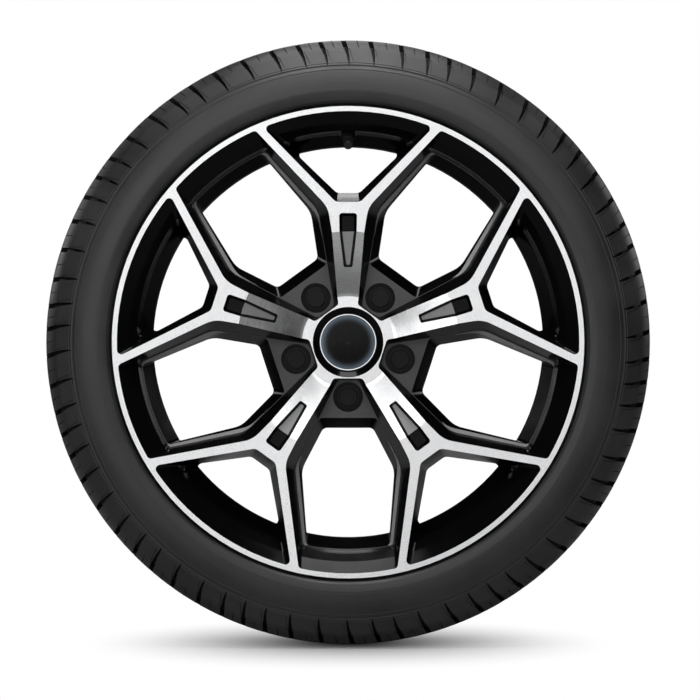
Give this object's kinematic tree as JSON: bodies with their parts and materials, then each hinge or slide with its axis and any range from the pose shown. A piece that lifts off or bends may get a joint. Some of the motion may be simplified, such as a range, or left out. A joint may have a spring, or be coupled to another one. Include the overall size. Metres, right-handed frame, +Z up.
{
  "type": "wheel and tyre assembly",
  "caption": "Car wheel with forked Y spokes, turned bright face and black pockets, low-profile tyre, plain centre cap, covered nuts and tyre valve; it bolts to a hub.",
  "frame": {"origin": "on the spin axis, midway between the two rim flanges and the two sides of the tyre", "axes": "+Y along the spin axis towards the car, street face towards -Y, +Z up through one spoke"},
  "size_m": [0.6371, 0.23, 0.6372],
  "materials": {
    "alloy": "cast, painted gloss black, face turned bright and lacquered",
    "tyre_rubber": "matt moulded",
    "cap_plastic": "satin black",
    "cap_gloss": "gloss black",
    "trim_chrome": "bright plated",
    "spring_steel": "drawn wire",
    "nut_steel": "dark zinc plated",
    "cover_plastic": "satin black",
    "valve_rubber": "matt moulded",
    "valve_brass": "turned",
    "seal_rubber": "matt moulded",
    "valve_cap_plastic": "satin black"
  },
  "bodies": {
    "wheel": {"alloy_wheel": "alloy", "tyre": "tyre_rubber", "centre_cap_body": "cap_plastic", "centre_cap_ring": "trim_chrome", "centre_cap_dome": "cap_gloss", "centre_cap_spring": "spring_steel", "lug_nut_1": "nut_steel", "lug_nut_2": "nut_steel", "lug_nut_3": "nut_steel", "lug_nut_4": "nut_steel", "lug_nut_5": "nut_steel", "nut_cover_1": "cover_plastic", "nut_cover_2": "cover_plastic", "nut_cover_3": "cover_plastic", "nut_cover_4": "cover_plastic", "nut_cover_5": "cover_plastic", "valve_body": "valve_rubber", "valve_stem": "valve_brass", "valve_core_body": "valve_brass", "valve_core_seal": "seal_rubber", "valve_core_spring": "spring_steel"},
    "valve_pin": {"valve_core_pin": "valve_brass", "valve_pin_seal": "seal_rubber"},
    "valve_cap_carrier": {"valve_cap_seal": "seal_rubber"},
    "valve_cap": {"valve_cap": "valve_cap_plastic"}
  },
  "joints": [
    {"name": "valve_pin_press", "type": "slide", "parent": "wheel", "child": "valve_pin", "axis": [0, 0.866, 0.5], "range_m": [0, 0.0025], "stiffness_N_per_m": 800, "springref_m": -0.002, "deforming": ["valve_core_spring"]},
    {"name": "valve_cap_rise", "type": "slide", "parent": "wheel", "child": "valve_cap_carrier", "axis": [0, -0.866, -0.5], "range_m": [0, 0.00476]},
    {"name": "valve_cap_turn", "type": "hinge", "parent": "valve_cap_carrier", "child": "valve_cap", "pos_m": [0, -0.07136, 0.21925], "axis": [0, -0.866, -0.5], "range_deg": [0, 2160]}
  ],
  "couplings": [
    {"joint": "valve_cap_turn", "follows": "valve_cap_rise", "rad_per_m": 7913.3}
  ]
}
